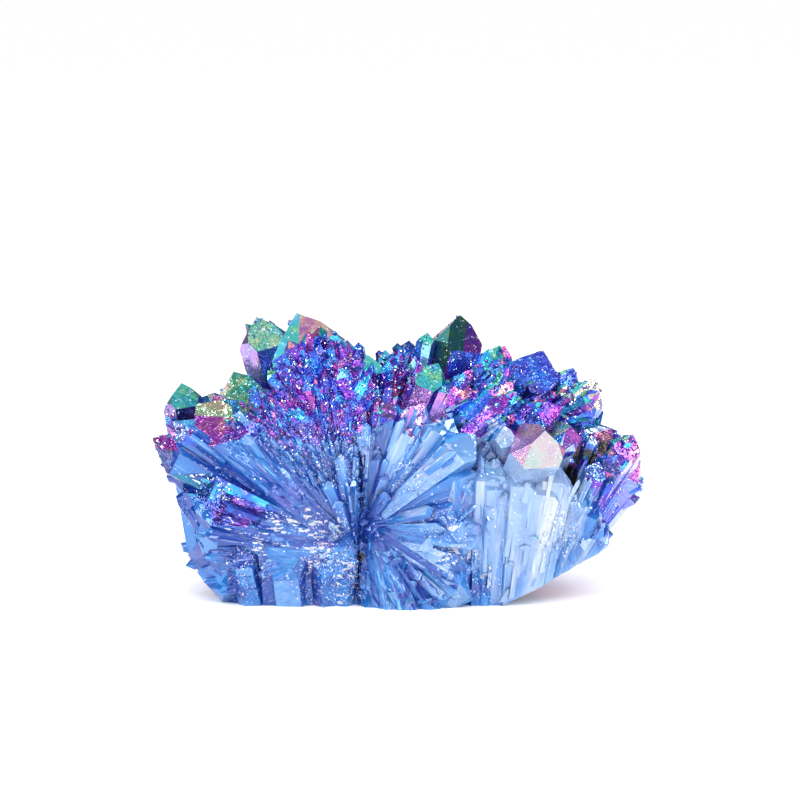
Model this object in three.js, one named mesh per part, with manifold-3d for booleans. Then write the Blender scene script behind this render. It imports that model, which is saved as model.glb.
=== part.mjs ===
// Aura quartz cluster. Millimetres, +Z up, seen from the front along +Y, X to the right.
// Quartz crystals radiate like opened fans from growth centres low in the front of the piece.
// The front is a broken face that shows the columns along their length, the top and the back
// carry the points, and the underside is broken flat, so the cluster rests on it.
// Everything grew together, so the cluster is one solid.

import * as THREE from "three";
import { mergeVertices } from "three/addons/utils/BufferGeometryUtils.js";
import { ConvexGeometry } from "three/addons/geometries/ConvexGeometry.js";
import Module from "manifold-3d";

const wasm = await Module();
wasm.setup();

// Driving dimensions
const FACE_TILT = THREE.MathUtils.degToRad(51.8); // between a point's face normal and the crystal's axis
const ROOT_SHARE = 0.4; // a column's width at its root, as a share of its width at the shoulder
const UNEVEN_SIDES = 0.22; // how far the six sides of a column depart from a regular hexagon
const UNEVEN_POINT = 0.3; // how far below the apex a point's smaller faces may start, in widths
const UNEVEN_GAPS = [0.2, 0.8]; // where a column may stand in its share of a row
const FRONT_TURN = 270; // turns a column's first side to the front, in degrees
const STRAY_TURN = 18; // how far the columns of one spread swing from the front, in degrees
const SMALLEST_STEP = 0.02; // edges shorter than this are closed up
const SEED = 41;

// Growth centres, where the columns of a fan meet
const LEFT_FAN = [-6.5, -16, 9];
const RIGHT_FAN = [-5, -16, 14];
const HEART = [0, -5, 4];

// A repeatable run of numbers from 0 to 1
function randomRun(seed) {
  let state = seed;
  return () => {
    state = (state + 0x6d2b79f5) | 0;
    let t = Math.imul(state ^ (state >>> 15), 1 | state);
    t = (t + Math.imul(t ^ (t >>> 7), 61 | t)) ^ t;
    return ((t ^ (t >>> 14)) >>> 0) / 4294967296;
  };
}
const random = randomRun(SEED);
const between = (low, high) => low + (high - low) * random();

// A closed three.js geometry as a solid that can be cut and joined
function solidOf(geometry) {
  const bare = geometry.clone();
  bare.deleteAttribute("normal");
  bare.deleteAttribute("uv");
  const merged = mergeVertices(bare, 1e-4);
  return new wasm.Manifold(
    new wasm.Mesh({
      numProp: 3,
      vertProperties: new Float32Array(merged.attributes.position.array),
      triVerts: new Uint32Array(merged.index.array),
    }),
  );
}

// Keeps what lies behind a plane whose normal points out of the solid
function cutBack(solid, plane) {
  return solid.trimByPlane(plane.normal.clone().negate().toArray(), plane.constant);
}

// One quartz crystal: a six-sided column that widens from its root, ended by a six-faced point
// whose faces alternate between large and small. Its local Z runs from root to tip. turn swings its
// first side from the front, flat thins it from front to back, and chisel cuts its first face lower.
function crystal({ root, tip, width, turn = between(-30, 30), flat = 1, chisel = 0, share = ROOT_SHARE }) {
  const foot = new THREE.Vector3(...root);
  const apex = new THREE.Vector3(...tip);
  const length = foot.distanceTo(apex);
  const along = apex.clone().sub(foot).normalize();
  const place = new THREE.Matrix4().compose(
    apex,
    new THREE.Quaternion().setFromUnitVectors(new THREE.Vector3(0, 0, 1), along),
    new THREE.Vector3(1, 1, 1),
  );
  const half = width / 2;
  const lean = (half * (1 - share)) / length;
  const blank = new THREE.BoxGeometry(2 * width, 2 * width, 2 * length);
  let made = solidOf(blank.applyMatrix4(place));
  made = cutBack(made, new THREE.Plane(along.clone().negate(), along.dot(foot)));
  for (let side = 0; side < 6; side++) {
    const angle = THREE.MathUtils.degToRad(60 * side + FRONT_TURN + turn);
    const across = new THREE.Vector3(Math.cos(angle), Math.sin(angle), 0);
    const thin = side % 3 ? 1 : flat;
    const reach = half * thin * (1 + UNEVEN_SIDES * between(-0.5, 0.5));
    const prism = new THREE.Vector3(across.x, across.y, -lean * thin);
    made = cutBack(made, new THREE.Plane(prism, -reach).normalize().applyMatrix4(place));
    const start = side === 0 ? -chisel * width : side % 2 ? UNEVEN_POINT * width * random() : 0;
    const face = across.multiplyScalar(Math.sin(FACE_TILT)).setZ(Math.cos(FACE_TILT));
    made = cutBack(made, new THREE.Plane(face, -start * face.z).applyMatrix4(place));
  }
  return made;
}

// The points and columns that show in front, each with its own place
const FRONT = [
  // left fan, from the far left up to the peak
  { root: LEFT_FAN, tip: [-43.7, -12, 29.6], width: 9.5, turn: -20, share: 0.5 },
  { root: LEFT_FAN, tip: [-41, -8, 26], width: 9 },
  { root: LEFT_FAN, tip: [-40, -14.5, 33], width: 6, share: 0.7 },
  { root: LEFT_FAN, tip: [-36, -15, 36.6], width: 11.5, turn: 8, chisel: 0.15, share: 0.5 },
  { root: LEFT_FAN, tip: [-31, -16, 37], width: 6 },
  { root: [-34, -3, 4], tip: [-38.9, -4, 38.6], width: 7, turn: 15, share: 0.9 },
  { root: [-16, -8, 8], tip: [-29.4, -9, 42], width: 8.5, turn: 5, chisel: 0.3, share: 0.6 },
  { root: [-14, -4, 8], tip: [-25.1, -3, 51], width: 8, turn: 15, chisel: 0.2, share: 0.7 },
  { root: [-7, -12, 8], tip: [-17.5, -8, 52.5], width: 13.5, turn: 25, chisel: 0.12, share: 0.5 },
  { root: LEFT_FAN, tip: [-25.5, -14, 39.5], width: 6 },
  { root: LEFT_FAN, tip: [-21, -16, 42], width: 5.5 },
  { root: LEFT_FAN, tip: [-17, -17, 44], width: 5.5 },
  { root: LEFT_FAN, tip: [-11.1, -13, 46.3], width: 6.5 },
  { root: LEFT_FAN, tip: [-13.5, -17, 42.5], width: 5 },
  { root: LEFT_FAN, tip: [-7.8, -7, 45.7], width: 5 },
  { root: LEFT_FAN, tip: [-4.9, -10, 44.6], width: 6 },
  { root: [-3, -5, 8], tip: [-1.6, -5, 44.8], width: 3.5 },
  // lower left flank
  { root: LEFT_FAN, tip: [-39.6, -12, 19], width: 12, turn: -15, share: 0.6 },
  { root: LEFT_FAN, tip: [-37.6, -11, 8], width: 13, turn: -25, share: 0.7 },
  { root: [-10, -10, 0], tip: [-34, -12, 0], width: 13, turn: 28, share: 0.9 },
  { root: [-14, -12, 4], tip: [-36, -14, 5], width: 9, turn: 10, share: 0.8 },
  // right fan, from the seam to the far right
  { root: RIGHT_FAN, tip: [2.7, -7, 46.8], width: 6 },
  { root: RIGHT_FAN, tip: [0.5, -10, 44.6], width: 5.5 },
  { root: [0, -8, 14], tip: [6, -8, 48.3], width: 3.4 },
  { root: [5, -5, 10], tip: [12, -3, 51], width: 10.5, turn: 30, share: 0.7 },
  { root: RIGHT_FAN, tip: [8, -14, 43.9], width: 6.5, chisel: 0.2 },
  { root: [8, -5, 10], tip: [17.2, -5, 45], width: 6.5 },
  { root: [8, -4, 10], tip: [20.2, -2, 45.2], width: 5 },
  { root: RIGHT_FAN, tip: [13, -15, 41], width: 6 },
  { root: RIGHT_FAN, tip: [19.6, -12, 43], width: 7 },
  { root: RIGHT_FAN, tip: [21.2, -16, 40.3], width: 7.5 },
  { root: RIGHT_FAN, tip: [20.4, -20, 38], width: 5 },
  { root: [13, -8, 10], tip: [27.4, -8, 45.8], width: 9.5, turn: 0, chisel: 0.3, share: 0.7 },
  { root: [14, -4, 8], tip: [32.7, -5, 41.5], width: 5.5 },
  { root: [14, -8, 8], tip: [36.6, -9, 40], width: 9, turn: 10, share: 0.6 },
  { root: [14, -10, 8], tip: [39.6, -10, 31], width: 8.5, share: 0.6 },
  { root: RIGHT_FAN, tip: [30, -17, 36], width: 6 },
  { root: RIGHT_FAN, tip: [-1, -17, 38], width: 6, turn: 10, flat: 0.8, share: 0.25 },
  { root: RIGHT_FAN, tip: [5.4, -19, 37], width: 8, turn: -6, flat: 0.8, share: 0.25 },
  { root: RIGHT_FAN, tip: [10.5, -21, 34.5], width: 6.5, turn: 12, flat: 0.8, share: 0.25 },
  { root: RIGHT_FAN, tip: [14.5, -23, 32], width: 8, turn: -10, flat: 0.8, share: 0.25 },
  { root: RIGHT_FAN, tip: [15, -22, 25], width: 7, turn: 8, flat: 0.8, share: 0.3 },
  { root: RIGHT_FAN, tip: [14, -21, 18], width: 7, turn: -8, flat: 0.8, share: 0.3 },
  // over the right sheaf, and the crystals that slant out at the far right
  { root: [20, -8, 16], tip: [26.6, -27, 33.2], width: 9.8, turn: 20, share: 0.8 },
  { root: [22, -8, 14], tip: [19.5, -23, 33.5], width: 5.5 },
  { root: [25, -8, 18], tip: [31.5, -20, 33], width: 6 },
  { root: [26, -10, 0], tip: [43.3, -11, 30.2], width: 6.5, share: 0.6 },
  { root: [26, -11, 0], tip: [39.8, -14.5, 27.7], width: 5.5, share: 0.6 },
  { root: [26, -12, 0], tip: [36.8, -16.5, 26], width: 5, share: 0.6 },
  { root: [27, -9, 1], tip: [44.8, -8, 25], width: 6.5, share: 0.7 },
];

// Columns side by side, spread from a first root and tip to a last root and tip
function spread({ root, lastRoot = root, tips, count, width, stray = 1.5, chisel = 0, share = 0.5 }) {
  const [firstFoot, lastFoot] = [new THREE.Vector3(...root), new THREE.Vector3(...lastRoot)];
  const [firstTip, lastTip] = tips.map((place) => new THREE.Vector3(...place));
  return Array.from({ length: count }, (_, i) => {
    const along = (i + between(...UNEVEN_GAPS)) / count;
    const tip = firstTip.clone().lerp(lastTip, along).toArray();
    return crystal({
      root: firstFoot.clone().lerp(lastFoot, along).toArray(),
      tip: tip.map((value) => value + between(-stray, stray)),
      width: between(...width),
      turn: between(-STRAY_TURN, STRAY_TURN),
      flat: 0.8,
      chisel,
      share,
    });
  });
}

const SPREADS = [
  // the curtain of thin columns under the left peak, its lower columns in front
  { root: LEFT_FAN, tips: [[-3, -17, 41], [-24, -17, 36]], count: 12, width: [3, 4.5], stray: 2.5 },
  { root: LEFT_FAN, tips: [[-4.5, -18.5, 33], [-19, -18.5, 30]], count: 10, width: [3, 4], stray: 2.5 },
  { root: LEFT_FAN, tips: [[-6, -19.5, 25], [-14, -19.5, 23]], count: 6, width: [2.5, 3.5] },
  // the smooth long columns of the left fan
  { root: LEFT_FAN, tips: [[-25, -16.5, 36], [-37, -15.5, 25]], count: 8, width: [6, 8], share: 0.6 },
  {
    root: LEFT_FAN,
    tips: [[-37, -15.5, 24], [-36, -15, 11]],
    count: 5,
    width: [8, 10],
    stray: 1,
    share: 0.7,
  },
  // the blades and low ribs right of the seam
  { root: RIGHT_FAN, tips: [[-3, -17.5, 38], [10, -20, 32]], count: 8, width: [4, 6] },
  { root: RIGHT_FAN, tips: [[16, -20.5, 20], [14, -18.5, 0]], count: 6, width: [7, 9] },
  { root: RIGHT_FAN, tips: [[12, -19, -2], [-4, -18.5, -8]], count: 6, width: [7, 9] },
  // the sheaf of pale upright columns
  {
    root: [12, -15, -8],
    lastRoot: [25, -15, -8],
    tips: [[12.5, -21, 26], [31, -20, 26]],
    count: 12,
    width: [5, 7.5],
  },
  // the columns that lean out at the far right
  {
    root: [25, -13, -6],
    lastRoot: [25, -12, -4],
    tips: [[33, -18, 22], [38, -12, 14]],
    count: 6,
    width: [5, 7],
    stray: 1,
  },
  // short upright columns along the foot of the left fan, which end in an uneven ledge
  {
    root: [-27, -14, -6],
    lastRoot: [-8, -14, -6],
    tips: [[-28, -18, 12.5], [-9, -18.5, 13]],
    count: 8,
    width: [4.5, 8.5],
    stray: 1.4,
    chisel: 0.2,
    share: 0.9,
  },
];

// Small broken columns in front of that ledge
const FOOT = [
  {
    root: [-26, -15, -6],
    lastRoot: [-9, -15, -6],
    tips: [[-29, -19.5, 11], [-8, -20.5, 10]],
    count: 7,
    width: [2.5, 4.5],
    stray: 1.8,
    chisel: 0.35,
    share: 0.9,
  },
  {
    root: [-30, -11, -4],
    lastRoot: [-16, -15, -6],
    tips: [[-35, -15, 15], [-21, -19, 8]],
    count: 5,
    width: [2.5, 4.5],
    stray: 1.5,
    chisel: 0.35,
    share: 0.8,
  },
];

// Height of the skyline over a place along X, from a few of its peaks and dips
const SKYLINE = [
  [-44, 28],
  [-38, 37],
  [-30, 41],
  [-20, 50],
  [-8, 44],
  [0, 42],
  [12, 49],
  [28, 43],
  [37, 38],
  [44, 28],
];
function skyline(x) {
  const next = Math.min(Math.max(SKYLINE.findIndex(([place]) => place > x), 1), SKYLINE.length - 1);
  const [x0, z0] = SKYLINE[next - 1];
  const [x1, z1] = SKYLINE[next];
  return THREE.MathUtils.mapLinear(THREE.MathUtils.clamp(x, x0, x1), x0, x1, z0, z1);
}

// Rows of points round the sides, the back and the top, each with its height and its reach as a
// share of the widest row. sink keeps the far points under the skyline of the near ones.
const ROWS = [
  [0, 0.74],
  [6, 0.82],
  [13, 0.93],
  [21, 1],
  [29, 0.97],
  [36, 0.86],
  [42, 0.68],
  [46, 0.46],
  [48, 0.22],
];
const BACK = { reachX: 43, reachY: 31, spacing: 8.2, sink: 0.16, width: [6.5, 11], rise: 2, dip: [0.5, 3] };
function backRow([height, share]) {
  const [reachX, reachY] = [BACK.reachX * share, BACK.reachY * share];
  const count = Math.round((Math.PI * (reachX + reachY)) / 2 / BACK.spacing);
  return Array.from({ length: count }, (_, i) => {
    const turn = (Math.PI * (i + between(...UNEVEN_GAPS))) / count;
    const far = between(0.93, 1.05);
    const x = reachX * far * Math.cos(turn);
    const y = HEART[1] + reachY * far * Math.sin(turn);
    const highest = skyline(x) - BACK.sink * (y - HEART[1]) - between(...BACK.dip);
    const z = Math.min(height + between(-BACK.rise, BACK.rise), highest);
    return crystal({ root: HEART, tip: [x, y, z], width: between(...BACK.width), turn: between(0, 60) });
  });
}

// The root mass deep between the columns, as rings from the foot up
const ROOT_SIDES = 9;
const ROOT_RINGS = [
  { z: -1, reachX: 25, reachY: 18, shift: -6 },
  { z: 8, reachX: 28, reachY: 18, shift: -4 },
  { z: 24, reachX: 22, reachY: 12, shift: 0 },
];
function rootMass() {
  const corners = ROOT_RINGS.flatMap(({ z, reachX, reachY, shift }) =>
    Array.from({ length: ROOT_SIDES }, (_, i) => {
      const turn = (i * 2 * Math.PI) / ROOT_SIDES;
      return new THREE.Vector3(shift + reachX * Math.cos(turn), reachY * Math.sin(turn), z);
    }),
  );
  return solidOf(new ConvexGeometry(corners));
}

// The seam between the two fans, a narrow groove down the front
const SEAM = { at: [-6.3, -20.5, 12], width: 1.7, depth: 5.6, height: 34, slant: 1.5 };
function seamGroove({ at, width, depth, height, slant }) {
  const groove = new THREE.CylinderGeometry(0.5, 0.5, height, 4);
  groove.rotateX(Math.PI / 2);
  groove.scale(width, depth, 1);
  groove.rotateY(THREE.MathUtils.degToRad(slant));
  groove.translate(...at);
  return solidOf(groove);
}

// Planes of the broken underside, each with a point on it and its outward normal
const BREAKS = [
  { at: [0, 0, 0], out: [0, 0, -1] },
  { at: [-31, 0, 0], out: [-0.75, 0, -0.66] },
  { at: [19.5, 0, 0], out: [0.45, 0, -0.89] },
  { at: [0, 22, 0], out: [0, 0.7, -0.7] },
];

const columns = [
  ...FRONT.map(crystal),
  ...SPREADS.flatMap(spread),
  ...ROWS.flatMap(backRow),
  ...FOOT.flatMap(spread),
];
let cluster = wasm.Manifold.union([rootMass(), ...columns]).subtract(seamGroove(SEAM));
for (const { at, out } of BREAKS) {
  const plane = new THREE.Plane();
  plane.setFromNormalAndCoplanarPoint(new THREE.Vector3(...out).normalize(), new THREE.Vector3(...at));
  cluster = cutBack(cluster, plane);
}

// Small pockets shut in between the columns are filled, so only the outermost skin stays
const [whole] = cluster.simplify(SMALLEST_STEP).decompose().sort((a, b) => b.volume() - a.volume());

function geometryOf(solid) {
  const mesh = solid.getMesh();
  const geometry = new THREE.BufferGeometry();
  geometry.setAttribute("position", new THREE.BufferAttribute(mesh.vertProperties, 3));
  geometry.setIndex(new THREE.BufferAttribute(mesh.triVerts, 1));
  return geometry;
}

// Puts the origin under the middle of the piece, on the face it rests on
function centredOverFoot(geometry) {
  geometry.computeBoundingBox();
  const { min, max } = geometry.boundingBox;
  return geometry.translate(-(min.x + max.x) / 2, -(min.y + max.y) / 2, -min.z);
}

const auraQuartz = new THREE.MeshStandardMaterial({ color: 0x5b7fd6, roughness: 0.12, metalness: 0.2 });
const quartzCluster = new THREE.Mesh(centredOverFoot(geometryOf(whole)), auraQuartz);
quartzCluster.name = "quartz_cluster";

const auraQuartzCluster = new THREE.Group();
auraQuartzCluster.add(quartzCluster);
export default auraQuartzCluster;
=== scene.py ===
# %% [markdown]
# A cluster of aura quartz
#
# Quartz grows as six-sided columns that end in six-faced points. In this cluster hundreds of them grew
# together in fans, and the piece was broken open along the front. A film of metal, thinner than a
# wavelength of light, was then laid over it in a vacuum: it gives the blue, violet, green and gold that
# is called aura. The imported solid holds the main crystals. This lesson grows the fine ones on it with
# Geometry Nodes, fuses everything into one skin, and gives each facet its own film.

# %% Load the frame
import math

import bmesh
import bpy
import numpy as np
from mathutils import Matrix, Vector
from mathutils.bvhtree import BVHTree


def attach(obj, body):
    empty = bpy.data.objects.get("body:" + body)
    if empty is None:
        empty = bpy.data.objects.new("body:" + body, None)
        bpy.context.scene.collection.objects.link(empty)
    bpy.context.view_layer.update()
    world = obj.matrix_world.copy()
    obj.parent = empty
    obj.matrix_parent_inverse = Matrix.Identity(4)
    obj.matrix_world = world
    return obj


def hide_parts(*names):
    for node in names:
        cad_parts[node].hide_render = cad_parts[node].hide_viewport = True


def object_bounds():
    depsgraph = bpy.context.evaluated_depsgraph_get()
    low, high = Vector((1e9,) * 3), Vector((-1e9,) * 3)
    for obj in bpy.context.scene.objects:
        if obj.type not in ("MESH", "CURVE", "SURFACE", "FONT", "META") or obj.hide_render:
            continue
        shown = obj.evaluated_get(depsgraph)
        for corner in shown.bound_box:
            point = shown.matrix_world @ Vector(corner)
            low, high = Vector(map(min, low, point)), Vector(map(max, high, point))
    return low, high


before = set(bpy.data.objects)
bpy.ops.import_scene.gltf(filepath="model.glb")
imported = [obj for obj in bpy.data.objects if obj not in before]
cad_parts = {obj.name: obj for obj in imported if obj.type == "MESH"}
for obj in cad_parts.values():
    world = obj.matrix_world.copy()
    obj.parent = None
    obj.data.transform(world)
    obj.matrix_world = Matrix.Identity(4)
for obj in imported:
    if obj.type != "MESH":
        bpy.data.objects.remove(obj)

MM = 0.001
cad_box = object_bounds()
box_low, box_high = (np.array(corner) for corner in cad_box)
print("packed solid, mm:", np.round((box_high - box_low) / MM, 1))

# %% [markdown]
# The view
#
# The photograph was taken with a long lens from a little above the table. A long lens a good way off keeps
# the columns parallel. A camera that is aimed above the middle of the piece leaves it low in the frame with
# no lens shift, so the other views of the piece stay centred too.

# %% Camera
VIEW_RISE = math.radians(8)
VIEW_DISTANCE = 620 * MM
VIEW_WIDTH = 147 * MM
AIM = Vector((0.2, 0, 35)) * MM
scene = bpy.context.scene


def in_scene(name, data):
    """A new object with that data, linked to the scene."""
    made = bpy.data.objects.new(name, data)
    scene.collection.objects.link(made)
    return made


camera_data = bpy.data.cameras.new("camera")
camera_data.lens = camera_data.sensor_width * VIEW_DISTANCE / VIEW_WIDTH
camera = in_scene("camera", camera_data)
toward_camera = Vector((0, -math.cos(VIEW_RISE), math.sin(VIEW_RISE)))
camera.location = AIM + toward_camera * VIEW_DISTANCE
camera.rotation_euler = (-toward_camera).to_track_quat("-Z", "Y").to_euler()
scene.camera = camera
print("camera lens, mm:", round(camera_data.lens))

# %% [markdown]
# The skin to grow on
#
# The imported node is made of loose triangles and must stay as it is, so its mesh is copied and merged. The
# same copy, with its long edges cut, is the sheet on which the fine crystals are sown: a mask that is
# painted on its vertices can then change along a single tall column.

# %% Merged copy and a finer sheet
SAME_PLACE = 1e-7
LONGEST_EDGE = 2.5 * MM
CUTTING_PASSES = 5


def opened(mesh):
    """The mesh as a BMesh, in which faces can be cut and joined."""
    work = bmesh.new()
    work.from_mesh(mesh)
    return work


def written(work, mesh):
    """The mesh, with what the BMesh holds written into it."""
    work.to_mesh(mesh)
    work.free()
    return mesh


def into_triangles(work):
    bmesh.ops.triangulate(work, faces=[face for face in work.faces if len(face.verts) > 3])


def merged_mesh(node_object, name, passes=0):
    """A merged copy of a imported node's mesh, its long edges cut in halves as many times as passes says."""
    work = opened(node_object.data)
    bmesh.ops.remove_doubles(work, verts=work.verts, dist=SAME_PLACE)
    for _ in range(passes):
        long_edges = [edge for edge in work.edges if edge.calc_length() > LONGEST_EDGE]
        bmesh.ops.subdivide_edges(work, edges=long_edges, cuts=1)
        into_triangles(work)
    return written(work, bpy.data.meshes.new(name))


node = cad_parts["quartz_cluster"]
skin = merged_mesh(node, "skin")
sheet = merged_mesh(node, "sheet", CUTTING_PASSES)
print("skin faces:", len(skin.polygons), "sheet faces:", len(sheet.polygons))

# %% [markdown]
# Which way the quartz grew
#
# The columns of a fan point away from their growth centre. Here that rule is a function of place: left of
# the seam the crystals point away from one centre, right of it from another, the pale sheaf on the right
# stands almost upright, and everything behind points away from the heart of the piece. Fine crystals and
# the streaks in the quartz follow the same directions, so the rule is written once. Places are in
# millimetres.

# %% Growth directions
SEAM_X = -7.0
SEAM_BLEND = 0.5
FRONT_FROM, FRONT_FULL = -7.0, -12.0
CENTRES = dict(
    left=(-7.3, -15.1, 9.0), right=(-5.8, -15.1, 14.0), sheaf=(10.0, -8.0, -90.0), far=(24.0, -11.0, -6.0),
    heart=(-0.8, -4.1, 4.0),
)


def ramp(values, start, end):
    """0 at start, 1 at end, smooth between."""
    share = np.clip((values - start) / (end - start), 0, 1)
    return share * share * (3 - 2 * share)


def unit(vectors):
    return vectors / np.maximum(np.linalg.norm(vectors, axis=1, keepdims=True), 1e-9)


def growth_at(places):
    """Unit growth direction at each place."""
    x, y, z = places.T
    away = {name: unit(places - np.array(centre)) for name, centre in CENTRES.items()}
    front = ramp(y, FRONT_FROM, FRONT_FULL)[:, None]
    in_sheaf = (ramp(x, 9, 13) * ramp(x, 33, 29) * ramp(z, 29, 26))[:, None]
    in_far = (ramp(x, 29, 33) * ramp(z, 34, 30))[:, None]
    right_of_seam = ramp(x, SEAM_X - SEAM_BLEND, SEAM_X + SEAM_BLEND)[:, None]
    fans = away["left"] * (1 - right_of_seam) + away["right"] * right_of_seam
    fans = fans * (1 - in_sheaf) + away["sheaf"] * in_sheaf
    fans = fans * (1 - in_far) + away["far"] * in_far
    return unit(fans * front + away["heart"] * (1 - front))

# %% Reading and painting a mesh
def vectors_of(elements, field):
    """A vector of every vertex or face of a mesh, as the rows of an array."""
    values = np.empty(len(elements) * 3, np.float32)
    elements.foreach_get(field, values)
    return values.reshape(-1, 3).astype(float)


def paint(mesh, name, values, domain="POINT"):
    """Stores values as a named attribute, a number or a vector to each vertex or face."""
    kind, field = ("FLOAT_VECTOR", "vector") if values.ndim == 2 else ("FLOAT", "value")
    attribute = mesh.attributes.new(name, kind, domain)
    attribute.data.foreach_set(field, values.astype(np.float32).ravel())


places = vectors_of(sheet.vertices, "co") / MM
normals = vectors_of(sheet.vertices, "normal")
paint(sheet, "growth", growth_at(places))
print("growth painted on", len(places), "vertices")

# %% [markdown]
# Places that the photograph names
#
# Above a line across the front the points are coated. A curtain of small crystals hangs under the left
# peak. Caps with druse, crowded places and clear facets are balls given as X, Y, Z and reach.

# %% Places
FILM_LINE = (
    (-45, 26), (-36, 30), (-26, 31), (-18, 28), (-9, 29), (-3, 33), (7, 35), (11, 32), (15, 31), (18, 26),
    (24, 26), (28, 27), (33, 25), (38, 15), (45, 12),
)
FOREMOST_FROM, FOREMOST_FULL, FOREMOST_BARE = -19, -22, 5
CURTAIN = dict(middle=(-14, 35), reach=(11, 14))
CAPS = (
    (36, -8, 39, 4.5), (-43, -11, 29, 3.5), (-26, -2, 50, 3.5), (27, -6, 45, 3.5), (19, -11, 42, 4.5),
    (21, -15, 40, 4), (42, -10, 29, 3.5), (32, -4, 40, 3.5), (11, -1, 51, 2), (4, -7, 45, 2.5),
)
CROWDED = (
    (14, -13, 38, 6), (20, -15, 37, 6), (28, -11, 34, 5), (1, -12, 40, 5), (33, -11, 34, 4), (17, -17, 33, 5),
    (-33, -10, 33, 5),
)
GLITTERING = (
    (-13, -20, 6, 8), (-27, -20, 7, 6), (-34, -18, 22, 5), (9, -20, 15, 5), (15, -20, 5, 4), (29, -20, 12, 5),
    (2, -20, 24, 4),
)
CLEAR_FACETS = (
    (-17, -9, 50, 6), (-21, -9, 46, 5), (12, -5, 48, 6), (-26, -5, 45, 6), (-39, -5, 36, 5),
    (-36, -15, 35, 7), (-30, -9, 41, 5), (27, -9, 42, 5), (26, -25, 32, 7), (14, -22, 32, 4),
    (5, -18, 36, 4), (6, -8, 46, 4), (-41, -14, 26, 5), (37, -12, 33, 4),
)
BALL_CORE = 0.6
SHEAF_FOOT_X, SHEAF_FOOT_RISE = 21.5, 0.65

# %% How far a place lies in them
def in_front(places, normals):
    return ramp(places[:, 1], FRONT_FROM, FRONT_FULL) * ramp(normals[:, 1], 0.4, -0.1)


def above_film_line(places, blend=5):
    """0 where the broken front shows bare quartz, 1 where the points are coated."""
    x, y, z = places.T
    foremost = ramp(y, FOREMOST_FROM, FOREMOST_FULL)
    over = z - np.interp(x, *zip(*FILM_LINE)) - FOREMOST_BARE * foremost
    return ramp(over, -blend, blend)


def curtain_at(places):
    across = (places[:, 0] - CURTAIN["middle"][0]) / CURTAIN["reach"][0]
    upward = (places[:, 2] - CURTAIN["middle"][1]) / CURTAIN["reach"][1]
    return ramp(across**2 + upward**2, 1.1, 0.5)


def spots_at(places, balls):
    """1 in the core of any of the balls, 0 outside all of them."""
    covered = np.zeros(len(places))
    for *middle, reach in balls:
        away = np.linalg.norm(places - np.array(middle), axis=1)
        covered = np.maximum(covered, ramp(away, reach, BALL_CORE * reach))
    return covered


def over_sheaf_foot(places):
    """Height over the foot of the pale sheaf, which rises to the right."""
    return places[:, 2] - np.maximum(0, SHEAF_FOOT_RISE * (places[:, 0] - SHEAF_FOOT_X))


sparse = 1 - spots_at(places, CLEAR_FACETS)
print("share of the sheet clear of fine crystals:", round(float(1 - sparse.mean()), 2))

# %% [markdown]
# Where the fine crystals sit
#
# Eight kinds of fine growth show in the photograph: grains of druse on caps and along the seam, coarser
# grains that fill the seam, bead-like points on the curtain, crowds of small points on the upper half,
# second points between the large ones, thin blades along the columns of the broken front, ribs on the pale
# sheaf, and low chips where the foot was broken. Each has a mask on the sheet, from 0 to 1, that says how
# thickly it is sown. Nothing is sown at the very foot, so the face that the piece rests on stays flat.

# %% Masks for the sowing
x, _, z = places.T
front = in_front(places, normals)
above = above_film_line(places)
curtain = curtain_at(places)
foot = ramp(z, 0.3, 2)
flat_on = ramp(normals[:, 1], -0.3, -0.65) * ramp(np.abs(x - 0.5), 40, 34) * ramp(normals[:, 2], -0.35, -0.1)
from_seam = np.abs(x - SEAM_X)
low_on_seam = ramp(z, 30, 24)
seam = ramp(from_seam, 1.6, 0.8) * low_on_seam
masks = {
    "grains": np.clip(
        spots_at(places, CAPS) + 0.06 * above * sparse + front * (0.15 * spots_at(places, GLITTERING) + seam),
        0, 1),
    "filling": front * ramp(from_seam, 1.1, 0.7) * low_on_seam,
    "beads": front * curtain * ramp(z, 46, 38),
    "crowd": front * sparse * np.maximum(curtain * ramp(z, 33, 39), spots_at(places, CROWDED)),
    "points": sparse * np.clip(front * above * 0.7 + (1 - front) * 0.5, 0, 1) * (1 - curtain),
    "blades": front * flat_on * (1 - 0.9 * above) * sparse * ramp(z - 0.5 * x, -12, -8)
    * (1 - 0.75 * ramp(x, 10, 13) * ramp(x, 33, 30)) * (1 - 0.7 * ramp(x, -10, -13)),
    "ribs": front * flat_on * sparse * ramp(x, 9, 12) * ramp(x, 34, 31)
    * ramp(z, 24, 20) * ramp(over_sheaf_foot(places), 4, 7),
    "chips": front * flat_on * (1 - above) * ramp(z, 26, 14) * (1 - 0.85 * ramp(x, -26, -30)),
}
for name, values in masks.items():
    paint(sheet, name, foot * values)
print("sown share:", {name: round(float(values.mean()), 2) for name, values in masks.items()})

# %% [markdown]
# Seeds
#
# A seed is one small crystal, a unit wide, that Geometry Nodes can set down hundreds of times. Real
# ones are never regular: their sides differ, and the apex sits off the middle. A handful of seeds made
# from random numbers with a fixed start is enough, because each copy is also turned and scaled. Grains and
# chips are lumps with flat sides, the others are columns with a point.

# %% Ways to make a seed
TURN_STRAY, SIDE_STRAY, SHOULDER_STRAY, APEX_STRAY = 9, 0.2, 0.12, 0.16
random = np.random.default_rng(7)


def seed_object(name, corners):
    """An object with the convex hull of the corners."""
    work = bmesh.new()
    for corner in corners:
        work.verts.new(corner)
    hull = bmesh.ops.convex_hull(work, input=work.verts)
    bmesh.ops.delete(work, geom=list({*hull["geom_interior"], *hull["geom_unused"]}), context="VERTS")
    bmesh.ops.recalc_face_normals(work, faces=work.faces)
    return bpy.data.objects.new(name, written(work, bpy.data.meshes.new(name)))


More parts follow.
